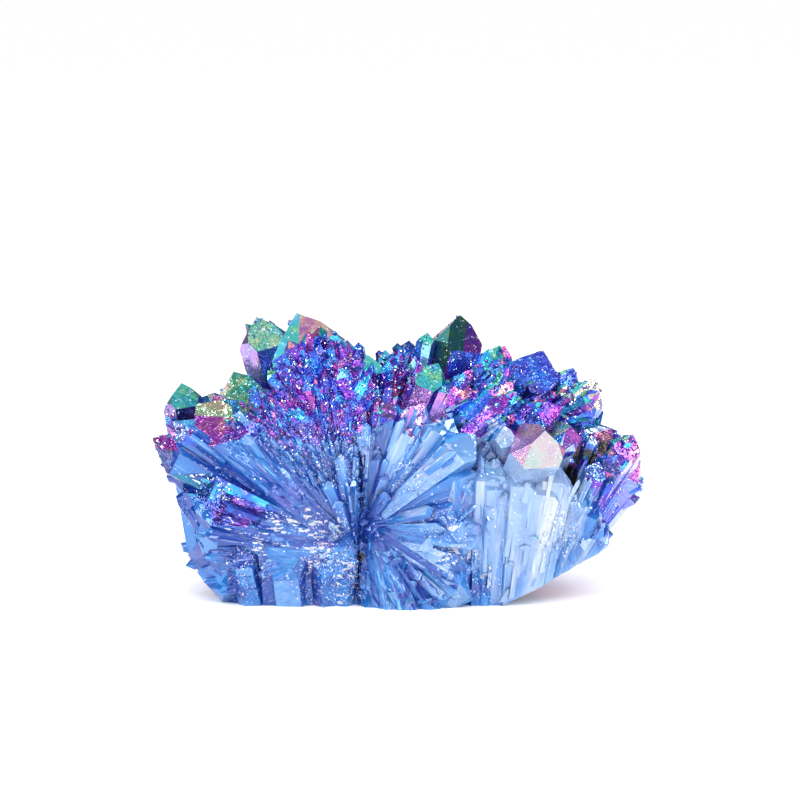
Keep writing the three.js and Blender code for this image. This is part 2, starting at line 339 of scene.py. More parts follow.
def crystal_seed(name, slenderness, slope, flat=1.0):
    """A six-sided column one unit wide with a six-faced point, standing on the origin."""
    turns = np.radians(60 * np.arange(6) + random.uniform(-TURN_STRAY, TURN_STRAY, 6))
    reach = 0.5 * (1 + SIDE_STRAY * random.uniform(-1, 1, 6))
    ring = np.column_stack([reach * np.cos(turns), flat * reach * np.sin(turns)])
    shoulder = slenderness - 0.5 * slope + random.uniform(-SHOULDER_STRAY, SHOULDER_STRAY, 6)
    apex = (*random.uniform(-APEX_STRAY, APEX_STRAY, 2) * (1, flat), slenderness)
    base = [(*corner, 0) for corner in ring]
    top = [(*corner, height) for corner, height in zip(ring, shoulder)]
    return seed_object(name, base + top + [apex])


def lump_seed(name, half_sizes, corners=12):
    """A lump with flat sides and no point."""
    return seed_object(name, unit(random.normal(size=(corners, 3))) * half_sizes)

# %% Six kinds of seeds
SEED_KINDS = {
    "grain": (5, lump_seed, dict(half_sizes=(0.5, 0.45, 0.4))),
    "bead": (5, crystal_seed, dict(slenderness=2.4, slope=0.8, flat=0.8)),
    "point": (5, crystal_seed, dict(slenderness=2.4, slope=0.9)),
    "blade": (5, crystal_seed, dict(slenderness=3.6, slope=0.9, flat=0.3)),
    "rib": (5, crystal_seed, dict(slenderness=9, slope=1.6, flat=0.28)),
    "chip": (6, lump_seed, dict(half_sizes=(0.55, 0.4, 0.14), corners=8)),
}
seeds = {}
for kind, (count, make, form) in SEED_KINDS.items():
    seeds[kind] = bpy.data.collections.new(f"{kind}_seed")
    for number in range(count):
        seeds[kind].objects.link(make(f"{kind}_seed_{number}", **form))

# %% [markdown]
# Helpers for node trees
#
# Each helper adds a node, sets its inputs to values or links them from other nodes, and gives back the
# output that is wanted next. That keeps the trees short enough to read.

# %% Nodes and their sockets
def put(tree, socket, value):
    """Links the socket from another one, or sets its value."""
    if isinstance(value, bpy.types.NodeSocket):
        tree.links.new(value, socket)
    else:
        socket.default_value = value


def add_node(tree, kind, inputs=None, **settings):
    """A node of that kind with these settings, its inputs given by name or by place."""
    made = tree.nodes.new(kind)
    for name, value in settings.items():
        setattr(made, name, value)
    for key, value in (inputs or {}).items():
        put(tree, made.inputs[key], value)
    return made


def new_tree(name, kind, inputs, outputs):
    """A node tree with named sockets, given as name to (kind, default)."""
    tree = bpy.data.node_groups.new(name, kind)
    for in_out, sockets in (("INPUT", inputs), ("OUTPUT", outputs)):
        for title, (kind_of, default) in sockets.items():
            socket = tree.interface.new_socket(title, in_out=in_out, socket_type="NodeSocket" + kind_of)
            if default is not None:
                socket.default_value = default
    return tree, tree.nodes.new("NodeGroupInput").outputs, tree.nodes.new("NodeGroupOutput").inputs


def numbers(**defaults):
    """Number sockets for a new tree, by name and default."""
    return {name.replace("_", " "): ("Float", default) for name, default in defaults.items()}


def shown(sockets):
    """The sockets of a node that are in use at its present settings."""
    return [socket for socket in sockets if socket.enabled]

# %% Node maths
def filled(tree, made, values):
    """The first output of a node, whose first inputs are set to the values."""
    for socket, value in zip(shown(made.inputs), values):
        put(tree, socket, value)
    return shown(made.outputs)[0]


def random_between(tree, low, high, seed, kind="FLOAT"):
    made = add_node(tree, "FunctionNodeRandomValue", {"Seed": seed}, data_type=kind)
    return filled(tree, made, (low, high))


def vector_maths(tree, operation, *values):
    return filled(tree, add_node(tree, "ShaderNodeVectorMath", operation=operation), values)


def maths(tree, operation, *values, clamp=False):
    return filled(tree, add_node(tree, "ShaderNodeMath", operation=operation, use_clamp=clamp), values)


def plus(tree, first, second):
    return maths(tree, "ADD", first, second)


def minus(tree, first, second):
    return maths(tree, "SUBTRACT", first, second)


def times(tree, first, second):
    return maths(tree, "MULTIPLY", first, second)


def map_range(tree, value, start, end, low=0.0, high=1.0):
    """Low where the value is at start, high where it is at end."""
    return add_node(tree, "ShaderNodeMapRange", {0: value, 1: start, 2: end, 3: low, 4: high}).outputs[0]


# %% [markdown]
# One layer of growth as a node group
#
# All eight layers work alike: sow points where a mask says, point each seed along the growth direction or
# out of the surface, scale it, turn it about its own axis, and sink its root into the skin. So the layer is
# one node group with named inputs, which is placed eight times with its own values.

# %% Inputs of a layer
layer, given, result = new_tree(
    "crystal_layer", "GeometryNodeTree",
    inputs={"Sheet": ("Geometry", None), "Seeds": ("Geometry", None), "Mask": ("String", "")}
    | numbers(Density=1000.0, Narrowest=0.001, Widest=0.002)
    | numbers(Uprightness=0.5, Stray=0.2, Rooted=0.5, Spin=3.14)
    | {"Seed": ("Int", 0)},
    outputs={"Crystals": ("Geometry", None)},
)
print("inputs of a layer:", [socket.name for socket in given if socket.name])

# %% Sowing and pointing the seeds
mask = add_node(layer, "GeometryNodeInputNamedAttribute", {"Name": given["Mask"]}, data_type="FLOAT")
sown = add_node(layer, "GeometryNodeDistributePointsOnFaces", {
    "Mesh": given["Sheet"], "Seed": given["Seed"],
    "Density": times(layer, shown(mask.outputs)[0], given["Density"])})
growth = add_node(layer, "GeometryNodeInputNamedAttribute", {"Name": "growth"}, data_type="FLOAT_VECTOR")
lying = minus(layer, 1.0, given["Uprightness"])
along = vector_maths(layer, "SCALE", shown(growth.outputs)[0], lying)
outward = vector_maths(layer, "SCALE", sown.outputs["Normal"], given["Uprightness"])
anyway = random_between(layer, (-1, -1, -1), (1, 1, 1), given["Seed"], "FLOAT_VECTOR")
astray = vector_maths(layer, "SCALE", anyway, given["Stray"])
axis = vector_maths(layer, "ADD", vector_maths(layer, "ADD", along, outward), astray)
pointed = add_node(layer, "FunctionNodeAlignRotationToVector", {"Vector": axis}, axis="Z")
facing = add_node(layer, "FunctionNodeAlignRotationToVector", {
    "Rotation": pointed.outputs[0], "Vector": sown.outputs["Normal"]}, axis="Y", pivot_axis="Z")
print("nodes that sow and point:", len(layer.nodes))

# %% Scaling, turning and sinking the seeds
SHORTEST, LONGEST = 0.7, 1.25
chance = random_between(layer, 0.0, 1.0, given["Seed"])
width = map_range(layer, times(layer, chance, chance), 0.0, 1.0, given["Narrowest"], given["Widest"])
stretch = random_between(layer, SHORTEST, LONGEST, given["Seed"])
size = add_node(layer, "ShaderNodeCombineXYZ", {0: width, 1: width, 2: times(layer, width, stretch)})
placed = add_node(layer, "GeometryNodeInstanceOnPoints", {
    "Points": sown.outputs["Points"], "Instance": given["Seeds"], "Pick Instance": True,
    "Instance Index": random_between(layer, 0, 99, given["Seed"], "INT"),
    "Rotation": facing.outputs[0], "Scale": size.outputs[0]})
turn = random_between(layer, -1.0, 1.0, given["Seed"])
spin = add_node(layer, "ShaderNodeCombineXYZ", {2: times(layer, turn, given["Spin"])})
spun = add_node(layer, "GeometryNodeRotateInstances", {
    "Instances": placed.outputs[0], "Rotation": spin.outputs[0], "Local Space": True})
depth = add_node(layer, "ShaderNodeCombineXYZ", {2: times(layer, given["Rooted"], -1.0)})
sunk = add_node(layer, "GeometryNodeTranslateInstances", {
    "Instances": spun.outputs[0], "Translation": depth.outputs[0], "Local Space": True})
layer.links.new(sunk.outputs[0], result["Crystals"])
print("nodes of a whole layer:", len(layer.nodes))

# %% [markdown]
# Growing and fusing the cluster
#
# Crystals that grow into each other are one solid, so the layers are not just set on the skin: a Mesh
# Boolean joins every seed with it. Its Manifold solver takes thousands of instances in a few seconds and
# leaves a closed mesh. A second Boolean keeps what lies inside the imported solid's box, so that no fine tip
# makes the piece larger than it is and its foot stays flat.

# %% Values of the eight layers
FREE, SLIGHT = math.pi, 0.3
LAYERS = {
    "Grains": dict(seed="grain", per_cm2=230, width=(0.35, 0.9), up=1.0, stray=0.5, root=0.05, spin=FREE),
    "Filling": dict(seed="grain", per_cm2=140, width=(0.8, 2.0), up=1.0, stray=0.5, root=0.0, spin=FREE),
    "Beads": dict(seed="bead", per_cm2=150, width=(0.35, 1.1), up=0.12, stray=0.12, root=1.3, spin=FREE),
    "Crowd": dict(seed="point", per_cm2=38, width=(1.0, 3.0), up=0.25, stray=0.22, root=1.35, spin=FREE),
    "Points": dict(seed="point", per_cm2=6, width=(0.9, 2.6), up=0.2, stray=0.2, root=1.75, spin=FREE),
    "Blades": dict(seed="blade", per_cm2=9, width=(0.7, 2.6), up=0.0, stray=0.06, root=1.8, spin=SLIGHT),
    "Ribs": dict(seed="rib", per_cm2=22, width=(0.4, 1.0), up=0.0, stray=0.02, root=4.5, spin=SLIGHT),
    "Chips": dict(seed="chip", per_cm2=12, width=(1.2, 4.2), up=1.0, stray=0.35, root=0.0, spin=FREE),
}
print("crystals per cm2:", {name: of_layer["per_cm2"] for name, of_layer in LAYERS.items()})

# %% Fusing the layers with the skin
PER_CM2 = 1e4
growing, given, result = new_tree(
    "growing", "GeometryNodeTree",
    inputs={
        "Skin": ("Geometry", None), "Sheet": ("Object", None), "Box middle": ("Vector", None),
        "Box size": ("Vector", None), "Seed": ("Int", 0), "Finish": ("Material", None),
    } | numbers(**{f"{name} per cm2": 0.0 for name in LAYERS}),
    outputs={"Cluster": ("Geometry", None)},
)
sheet_info = add_node(growing, "GeometryNodeObjectInfo", {"Object": given["Sheet"]})
fused = add_node(growing, "GeometryNodeMeshBoolean", operation="UNION", solver="MANIFOLD")
growing.links.new(given["Skin"], fused.inputs[1])
for number, (name, of_layer) in enumerate(LAYERS.items()):
    sorts = add_node(growing, "GeometryNodeCollectionInfo", {
        "Collection": seeds[of_layer["seed"]], "Separate Children": True, "Reset Children": True})
    narrowest, widest = of_layer["width"]
    grown = add_node(growing, "GeometryNodeGroup", {
        "Sheet": sheet_info.outputs["Geometry"], "Seeds": sorts.outputs[0], "Mask": name.lower(),
        "Density": times(growing, given[f"{name} per cm2"], PER_CM2),
        "Narrowest": narrowest * MM, "Widest": widest * MM,
        "Uprightness": of_layer["up"], "Stray": of_layer["stray"],
        "Rooted": of_layer["root"], "Spin": of_layer["spin"],
        "Seed": plus(growing, given["Seed"], float(number)),
    }, node_tree=layer)
    growing.links.new(grown.outputs[0], fused.inputs[1])
print("layers fused:", len(LAYERS))

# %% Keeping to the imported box
limits = add_node(growing, "GeometryNodeMeshCube", {"Size": given["Box size"]})
limits_there = add_node(growing, "GeometryNodeTransform", {
    "Geometry": limits.outputs["Mesh"], "Translation": given["Box middle"]})
kept = add_node(growing, "GeometryNodeMeshBoolean", operation="INTERSECT", solver="MANIFOLD")
growing.links.new(fused.outputs["Mesh"], kept.inputs[1])
growing.links.new(limits_there.outputs[0], kept.inputs[1])
realized = add_node(growing, "GeometryNodeRealizeInstances", {"Geometry": kept.outputs["Mesh"]})
finished = add_node(growing, "GeometryNodeSetMaterial", {
    "Geometry": realized.outputs[0], "Material": given["Finish"]})
growing.links.new(finished.outputs[0], result["Cluster"])
print("growth tree has", len(growing.nodes), "nodes")

# %% Grow it, and make it a plain mesh
GROWTH_SEED = 11
film = bpy.data.materials.new("aura_film")
milk = bpy.data.materials.new("milky_quartz")
sheet_object = bpy.data.objects.new("sheet", sheet)
cluster = in_scene("aura_quartz_cluster", skin)
modifier = cluster.modifiers.new("growing", "NODES")
modifier.node_group = growing
identifiers = {item.name: item.identifier for item in growing.interface.items_tree if item.in_out == "INPUT"}
settings = {
    "Sheet": sheet_object, "Seed": GROWTH_SEED, "Finish": film,
    "Box middle": tuple((box_low + box_high) / 2), "Box size": tuple(box_high - box_low),
} | {f"{name} per cm2": float(of_layer["per_cm2"]) for name, of_layer in LAYERS.items()}
for name, value in settings.items():
    modifier[identifiers[name]] = value
evaluated = cluster.evaluated_get(bpy.context.evaluated_depsgraph_get())
crystal = bpy.data.meshes.new_from_object(evaluated)
cluster.modifiers.remove(modifier)
cluster.data = crystal
print("grown mesh:", len(crystal.vertices), "vertices,", len(crystal.polygons), "faces")

# %% [markdown]
# Cleaning the grown mesh
#
# The solver can leave a few crumbs: closed pockets inside, or a seed that only touches the skin. They are
# found as separate islands of the mesh, and only the largest island stays. Its faces are cut into
# triangles, so that every renderer shows the many-cornered ones alike.

# %% Keep the largest island
def islands_of(work):
    left = set(work.verts)
    while left:
        island, edge_of = set(), [left.pop()]
        while edge_of:
            vertex = edge_of.pop()
            island.add(vertex)
            for edge in vertex.link_edges:
                other = edge.other_vert(vertex)
                if other in left:
                    left.remove(other)
                    edge_of.append(other)
        yield island


def open_edges(work):
    return sum(not edge.is_manifold for edge in work.edges)


work = opened(crystal)
largest = max(islands_of(work), key=len)
crumbs = [vertex for vertex in work.verts if vertex not in largest]
bmesh.ops.delete(work, geom=crumbs, context="VERTS")
into_triangles(work)
print("vertices of crumbs:", len(crumbs), "open edges:", open_edges(work))
print("volume, cm3:", round(work.calc_volume() * 1e6, 1))
written(work, crystal)
print("triangles:", len(crystal.polygons))

# %% [markdown]
# Facets with two films
#
# On four large facets the film changes along a line, such as salmon to teal at the left peak. Their faces
# are cut there, in their own plane, so that each side can have its film and no form changes. A coat names
# a facet by a place on it and the way it faces, then its film: the colour, how bright it is, how much of a
# pale veil lies over it, and how much druse.

# %% Cuts across facets
SPLIT_REACH, SPLIT_LIKENESS, SPLIT_DRUSE = 7, 0.95, 0.15


def coat(at, toward, film, shade, veil=0.0, druse=0.1):
    return dict(at=at, toward=toward, film=film, shade=shade, veil=veil, druse=druse)


def lies_in(wanted, places, normals, reach, likeness):
    """Which faces lie near the place that a coat names and face its way."""
    toward = np.array(wanted["toward"]) / np.linalg.norm(wanted["toward"])
    near = np.linalg.norm(places - np.array(wanted["at"]), axis=1) < reach
    return near & (normals @ toward > likeness)


SPLITS = (
    ((-18, 0, 0), (-1, 0, 0), coat((-17, -9, 49), (0.2, -0.7, 0.7), "teal", 0.55, druse=SPLIT_DRUSE)),
    ((0, 0, 34.3), (0, 0, 1), coat((-34, -17, 33), (-0.4, -0.8, 0.5), "lime", 0.55, 0.1, SPLIT_DRUSE)),
    ((12, 0, 47), (-1, 0, 0.15), coat((11, -5, 47), (0.5, -0.7, 0.6), "teal", 0.16, druse=SPLIT_DRUSE)),
    ((0, 0, 28), (0, 0, -1), coat((-42, -14, 27), (-0.71, -0.69, 0.13), "royal", 0.9, 0.3, SPLIT_DRUSE)),
)
work = opened(crystal)
for through, side, wanted in SPLITS:
    centres = np.array([face.calc_center_median() for face in work.faces]) / MM
    facings = np.array([face.normal for face in work.faces])
    inside = lies_in(wanted, centres, facings, SPLIT_REACH, SPLIT_LIKENESS)
    facet_faces = [face for face, chosen in zip(work.faces, inside) if chosen]
    parts = {*facet_faces}
    for face in facet_faces:
        parts.update(face.edges, face.verts)
    bmesh.ops.bisect_plane(work, geom=list(parts), plane_co=Vector(through) * MM, plane_no=side)
    into_triangles(work)
print("open edges after the cuts:", open_edges(work))
written(work, crystal)

# %% [markdown]
# A film for every facet
#
# The colour of the film depends on its thickness, and that differs from facet to facet, because each
# one faced the vapour at its own angle. All faces that lie in one plane are one facet and share three
# random numbers. Facets that look up took a thicker film and show more teal, cyan and green. The others and
# the curtain are indigo, blue, violet and magenta. Facets that face left carry a pale veil.

# %% Facets
NORMAL_STEPS, STEPS_PER_MM = 60, 4
normal = vectors_of(crystal.polygons, "normal")
middle = vectors_of(crystal.polygons, "center") / MM
distance = (normal * middle).sum(1)
plane = np.column_stack([np.round(normal * NORMAL_STEPS), np.round(distance * STEPS_PER_MM)])
_, facet = np.unique(plane, axis=0, return_inverse=True)
facet = facet.ravel()
facets = facet.max() + 1
luck = np.random.default_rng(19).random((facets, 3))[facet]
faces = len(facet)
print("facets:", facets, "faces:", faces)

# %% Films by name
FILM = dict(
    indigo=0.0, royal=0.1, azure=0.2, cyan=0.3, teal=0.4, green=0.48, lime=0.54, gold=0.61, salmon=0.69,
    magenta=0.79, violet=0.89,
)
FACING_UP = (
    "teal", "azure", "cyan", "violet", "teal", "royal", "cyan", "azure", "green", "royal", "magenta", "teal",
)
FACING_SIDE = (
    "royal", "indigo", "violet", "royal", "azure", "indigo", "royal", "violet", "magenta", "royal",
)
CURTAIN_FILM = (
    "royal", "indigo", "azure", "royal", "violet", "royal", "violet", "indigo", "royal", "magenta", "azure",
    "violet",
)


def palette(names, chance):
    """The film that chance, from 0 to 1, picks from the names."""
    values = np.array([FILM[name] for name in names])
    return values[np.minimum((chance * len(names)).astype(int), len(names) - 1)]

# %% Thickness, veil and shade of each face
THICKNESS_STRAY = 0.08
face_x, face_y, face_z = middle.T
fronting = in_front(middle, normal)
curtained = fronting * curtain_at(middle) > 0.3
upward = ramp(normal[:, 2], 0.25, 0.55) > luck[:, 1]
thickness = np.where(upward, palette(FACING_UP, luck[:, 0]), palette(FACING_SIDE, luck[:, 0]))
thickness = thickness + THICKNESS_STRAY * (luck[:, 2] - 0.5)
thickness[curtained] = palette(CURTAIN_FILM, luck[:, 0])[curtained]
veil = 0.4 * ramp(normal[:, 0], -0.4, -0.9) * ramp(face_x, -10, -30)
veil[curtained] = 0.35 * ramp(face_z[curtained], 38, 24) * luck[curtained, 2]
shade = 0.5 + 0.6 * luck[:, 1]
shade = shade * (1 - 0.3 * ramp(face_x, -20, -30) * ramp(face_z, 24, 29))
shade[curtained] += 0.05
print("facing up:", int(upward.sum()), "on the curtain:", int(curtained.sum()))

# %% [markdown]
# Facets with the film of the photograph
#
# About thirty large facets have a film that the eye remembers, such as the green caps or the gold at the
# right. Their coats are listed one by one. The recess above the ledge at the left is mostly royal blue.

# %% Coats of single facets
ACCENTS = (
    coat((-17, -9, 49), (0.2, -0.7, 0.7), "salmon", 0.42, veil=0.05),
    coat((-22, -11, 45), (-0.6, -0.8, -0.1), "teal", 0.6),
    coat((-24, -4, 47), (0, -0.7, 0.7), "green", 0.5, veil=0.05, druse=0.7),
    coat((-27, -4, 43), (-0.7, -0.7, -0.2), "violet", 0.9, veil=0.35),
    coat((-23, -6, 43), (0.2, -1, 0), "royal", 0.7),
    coat((-30, -9, 39), (-0.2, -0.8, 0.6), "green", 0.5, druse=0.5),
    coat((-39, -5, 36), (0.1, -0.8, 0.6), "teal", 0.5),
    coat((-38, -7, 32), (0.1, -1, 0), "indigo", 0.3),
    coat((-41, -6, 33), (-1, -0.3, 0), "azure", 0.5, veil=0.6),
    coat((-35, -8, 36), (-0.3, -0.6, 0.7), "gold", 0.8, veil=0.2),
    coat((-34, -17, 33), (-0.4, -0.8, 0.5), "magenta", 0.7),
    coat((-43, -12, 28), (-0.5, -0.7, 0.3), "magenta", 0.8, druse=1.0),
    coat((8, -7, 45), (-0.5, -0.9, 0.1), "teal", 0.2),
    coat((8, -6, 48), (-0.3, -0.6, 0.7), "teal", 0.3),
    coat((11, -7, 43), (0.5, -0.9, -0.1), "royal", 0.7, druse=0.3),
    coat((11, -5, 47), (0.5, -0.7, 0.6), "violet", 0.55, druse=0.5),
    coat((5, -9, 44), (0, -1, 0), "cyan", 0.9, veil=0.3),
    coat((5, -14, 42), (0.2, -0.7, 0.7), "teal", 0.6, druse=0.6),
    coat((25, -9, 41), (0.2, -0.8, 0.6), "royal", 0.9, druse=0.7),
    coat((23, -11, 37), (0, -1, 0), "royal", 0.6),
    coat((33, -11, 37), (0.5, -0.8, 0.4), "gold", 0.65, veil=0.15, druse=1.0),
    coat((34, -11, 36), (0, -0.9, 0.4), "gold", 0.6, veil=0.2, druse=1.0),
    coat((35, -11, 30), (0.4, -0.8, 0.5), "azure", 0.7, veil=0.45),
    coat((40, -12, 28), (0.3, -0.8, 0.5), "magenta", 0.5, druse=0.8),
    coat((35, -17, 24), (0.2, -0.9, 0.4), "royal", 0.6, veil=0.1),
    coat((41, -8, 15), (0.7, -0.5, -0.5), "azure", 0.9, veil=0.55),
    coat((42, -10, 20), (0.1, -1, 0.1), "royal", 0.8, veil=0.25),
    coat((22, -24, 32), (-0.6, -0.4, 0.7), "magenta", 0.7, veil=0.3),
    coat((24, -25, 30), (-0.4, -0.9, 0.1), "magenta", 0.7, veil=0.35),
    coat((26, -25, 30), (0.3, -0.9, -0.2), "gold", 0.35, veil=0.4),
    coat((2, -19, 36), (0.2, -0.8, 0.5), "violet", 0.5, veil=0.1),
    coat((4, -17, 37), (-0.1, -1, 0), "violet", 0.9, veil=0.2),
    coat((42, -10, 24), (0.9, -0.4, -0.2), "violet", 1.0, veil=0.75),
)
print("single facets:", len(ACCENTS))

# %% Laying the coats
ACCENT_REACH, ACCENT_LIKENESS = 5, 0.9
named = np.zeros(faces, bool)
druse = np.zeros(faces)


def lay(wanted, chosen):
    """Gives the chosen faces the film of a coat."""
    thickness[chosen] = FILM[wanted["film"]]
    veil[chosen] = wanted["veil"]
    shade[chosen] = wanted["shade"]
    druse[chosen] = wanted["druse"]


for wanted in ACCENTS:
    chosen = lies_in(wanted, middle, normal, ACCENT_REACH, ACCENT_LIKENESS) & ~curtained
    lay(wanted, chosen)
    named |= chosen
for through, side, wanted in SPLITS:
    beyond = (middle - np.array(through)) @ np.array(side) > 0
    lay(wanted, lies_in(wanted, middle, normal, SPLIT_REACH, SPLIT_LIKENESS) & beyond & named)
print("faces with a chosen film:", int(named.sum()))

# %% The recess, with painted shade
RECESS = ((-36, -16, 21, 4.5), (-31, -17, 19, 5), (-26, -18, 18, 4.5))
RECESS_FILM = ("royal", "indigo", "royal", "azure", "royal", "royal")
in_recess = spots_at(middle, RECESS) > 0.3 + 0.5 * luck[:, 2]
thickness[in_recess] = palette(RECESS_FILM, luck[:, 0])[in_recess]
# Facets in the recess are darker than elsewhere: painted shade, for a recess that lies in shadow.
shade[in_recess] = 0.3 + 0.5 * luck[in_recess, 1]
veil[in_recess] = 0
for name, values in dict(veil=veil, shade=shade, film=thickness).items():
    paint(crystal, name, values, "FACE")
print("faces in the recess:", int(in_recess.sum()))

# %% [markdown]
# Glitter and painted glints
#
# Druse glitters because its facets, too small to model, face every way. The sparkle attribute says how much
# a face does so: most on the curtain and the caps, less on other coated points. Rows of white glints on
# broken edges are painted into the colour: painted highlights. The growth direction is painted once more,
# for the streaks in the finishes.

# %% Sparkle, painted glints and growth
GLINT_ROW_SPOTS = (
    (-21, -18, 15, 2.5), (-16, -18, 14.5, 3), (-11, -18, 14, 2.5), (-25, -18, 12, 2.5), (-14, -18, 9.5, 3.5),
    (-9.5, -18, 7, 3), (-9, -18, 2.5, 2.5), (-31, -18, 21, 2.5), (-36, -17, 24, 2), (10, -20, 15, 2.5),
    (9, -20, 10, 2.5), (13, -20, 9, 2), (16, -20, 5, 2.5), (29, -20, 16, 2.5), (28, -20, 10, 2.5),
    (31, -18, 12, 2),
)
glittering = np.maximum(fronting * curtain_at(middle), spots_at(middle, CAPS))
upper = (0.25 + 0.5 * luck[:, 0]) * above_film_line(middle)
glittering = np.maximum(glittering, np.maximum(upper, 0.9 * spots_at(middle, GLITTERING)))
glittering[named] = druse[named]
# Rows of white glints on broken edges, painted into the colour: painted highlights.
painted_glint_rows = fronting * spots_at(middle, GLINT_ROW_SPOTS)
paint(crystal, "sparkle", np.clip(0.15 * luck[:, 2]**2 + glittering, 0, 1) + painted_glint_rows, "FACE")
paint(crystal, "painted_glint_rows", painted_glint_rows, "FACE")
paint(crystal, "growth", growth_at(vectors_of(crystal.vertices, "co") / MM))
print("mean sparkle:", round(float(glittering.mean()), 2), "painted_glint_row faces:", int((painted_glint_rows > 0.5).sum()))

# %% [markdown]
# Painted shade in hollows
#
# The bare quartz is darker in hollows: painted shade for the light that does not get in. From every vertex a
# few rays go out over the half of space it faces. The share of them that meets the cluster again within a few
# millimetres tells how hollow the place is, and so how much painted shade it gets.

# %% Painted shade in hollows
# The share of rays that meet the cluster is painted as shade on the bare quartz.
RAYS = 10
RAY_REACH = 5 * MM
RAY_START = 0.02
directions = unit(np.random.default_rng(3).normal(size=(RAYS, 3)))
work = opened(crystal)
tree_of_faces = BVHTree.FromBMesh(work)
hollow_shade = np.zeros(len(work.verts))
for vertex in work.verts:
    start = vertex.co + vertex.normal * RAY_START * MM
    for direction in directions:
        ray = Vector(direction)
        ray = ray if ray.dot(vertex.normal) > 0 else -ray
        hollow_shade[vertex.index] += tree_of_faces.ray_cast(start, ray, RAY_REACH)[0] is not None
work.free()
paint(crystal, "hollow_shade", hollow_shade / RAYS)
print("mean hollow:", round(float(hollow_shade.mean() / RAYS), 2))

# %% [markdown]
# Bare quartz on the broken front
#
# Below the film line the front shows the quartz itself, and so does the rim at the far left. Such faces get
# the second finish. Near the line chance decides for each facet, so the two finishes mingle. The quartz
# goes from deep blue at the left to pale on the sheaf, a little differently for each facet.

# %% Bare faces
COATED_ENDS = ((26, -25, 32, 6), (14, -22, 32, 3))
on_wall = ramp(face_y, -11, -15) * ramp(normal[:, 1], 0.4, -0.1)
coated_end = spots_at(middle, COATED_ENDS)
bare = on_wall * (1 - above_film_line(middle, blend=7)) * (1 - coated_end) > 0.1 + 0.5 * luck[:, 1]
left_rim = ramp(face_x, -33, -37) * ramp(face_z, 29, 23) * ramp(face_y, 4, -3)
bare |= left_rim > 0.2 + 0.5 * luck[:, 1]
bare &= ~named & ~in_recess
crystal.materials.clear()
crystal.materials.append(film)
crystal.materials.append(milk)
crystal.polygons.foreach_set("material_index", bare.astype(np.int32))
crystal.shade_flat()
print("bare faces:", int(bare.sum()), "of", faces)

# %% Paleness
PALE = (
    (-45, 0.0), (-36, 0.1), (-20, 0.22), (-7, 0.3), (0, 0.35), (12, 0.55), (20, 1.0), (30, 1.0), (36, 0.5),
    (45, 0.35),
)
SHADED_AND_DEEP_SPOTS = (
    (-42, -14, 20, 7), (-40, -12, 26, 6), (-30, -18, 17, 7), (-31, -18, 22, 4), (-38, -15, 16, 5),
    (-5, -18, 14, 4), (37, -14, 16, 6), (-28.5, -18, 8.5, 2.5), (-28.5, -18, 4, 2.5), (-24, -18, 4, 2.5),
    (-18, -18, 6, 2.5),
)
LEDGE_HIGHLIGHT = ((-12, -18, 12, 5), (-20, -18, 12, 5), (-27, -18, 12, 4))
sheaf_share = ramp(face_x, 10, 13) * ramp(face_x, 34, 31)
lower_left = ramp(face_z, 24, 18) * ramp(face_x, -8, -14)
mixed_up = 0.7 + 0.6 * lower_left * ramp(face_z, 8, 11) - 0.45 * sheaf_share
paleness = np.interp(face_x, *zip(*PALE)) + mixed_up * (luck[:, 0] - 0.5)
# Paler along the ledge: a painted highlight where its top catches the light.
paleness = paleness + 0.2 * spots_at(middle, LEDGE_HIGHLIGHT) - 0.1 * lower_left
# Darker in these spots: painted shade in the recess under the left points, and darker quartz elsewhere.
paleness = paleness - 0.5 * spots_at(middle, SHADED_AND_DEEP_SPOTS)
paleness = paleness - 0.45 * sheaf_share * ramp(over_sheaf_foot(middle), 9, 3)
paint(crystal, "paleness", paleness, "FACE")
print("mean paleness of the bare faces:", round(float(paleness[bare].mean()), 2))

# %% [markdown]
# The colours of the film
#
# A thin film runs through a fixed row of colours as it gets thicker: indigo, blue, cyan, green, gold, pink,
# magenta, violet and round again. A colour ramp holds that row, and the facet's number picks a place
# on it. A slow noise moves that place a little across a facet, and a fine one gives the grainy look of the
# druse. Both finishes use it, so it is a shader node group.

# %% Helpers for finishes
def attribute(tree, name, output="Fac"):
    return add_node(tree, "ShaderNodeAttribute", attribute_name=name).outputs[output]


def here(tree):
    """The place on the piece, which the finishes read instead of an unwrapped image."""
    return add_node(tree, "ShaderNodeTexCoord").outputs["Object"]


def noise(tree, scale, detail=2.0, vector=None):
    place = vector or here(tree)
    made = add_node(tree, "ShaderNodeTexNoise", {"Vector": place, "Scale": scale, "Detail": detail})
    return made.outputs["Fac"]


def mixed(tree, factor, first, second):
    """The second colour over the first, by the factor."""
    made = add_node(tree, "ShaderNodeMix", {0: factor}, data_type="RGBA")
    put(tree, made.inputs[6], first)
    put(tree, made.inputs[7], second)
    return made.outputs[2]

# %% Film colour group
FILM_ROW = (
    (0.00, (0.045, 0.025, 0.33)), (0.10, (0.035, 0.07, 0.68)), (0.20, (0.03, 0.25, 0.85)),
    (0.30, (0.05, 0.62, 0.85)), (0.40, (0.02, 0.45, 0.45)), (0.48, (0.10, 0.62, 0.35)),
    (0.54, (0.45, 0.78, 0.35)), (0.61, (0.90, 0.72, 0.38)), (0.69, (0.80, 0.33, 0.30)),
    (0.79, (0.50, 0.03, 0.42)), (0.89, (0.20, 0.03, 0.52)), (1.00, (0.045, 0.025, 0.33)),
)
LILAC_VEIL = (0.62, 0.62, 0.80, 1)
SLOW_SCALE, FINE_SCALE = 280.0, 1700.0
hue, given, result = new_tree(
    "film_colour", "ShaderNodeTree",
    inputs=numbers(Swing=0.2, Grain=0.1), outputs={"Color": ("Color", None)},
)
slow = minus(hue, noise(hue, SLOW_SCALE), 0.5)
fine = minus(hue, noise(hue, FINE_SCALE), 0.5)
moved = plus(hue, attribute(hue, "film"), times(hue, slow, given["Swing"]))
moved = plus(hue, moved, times(hue, fine, given["Grain"]))
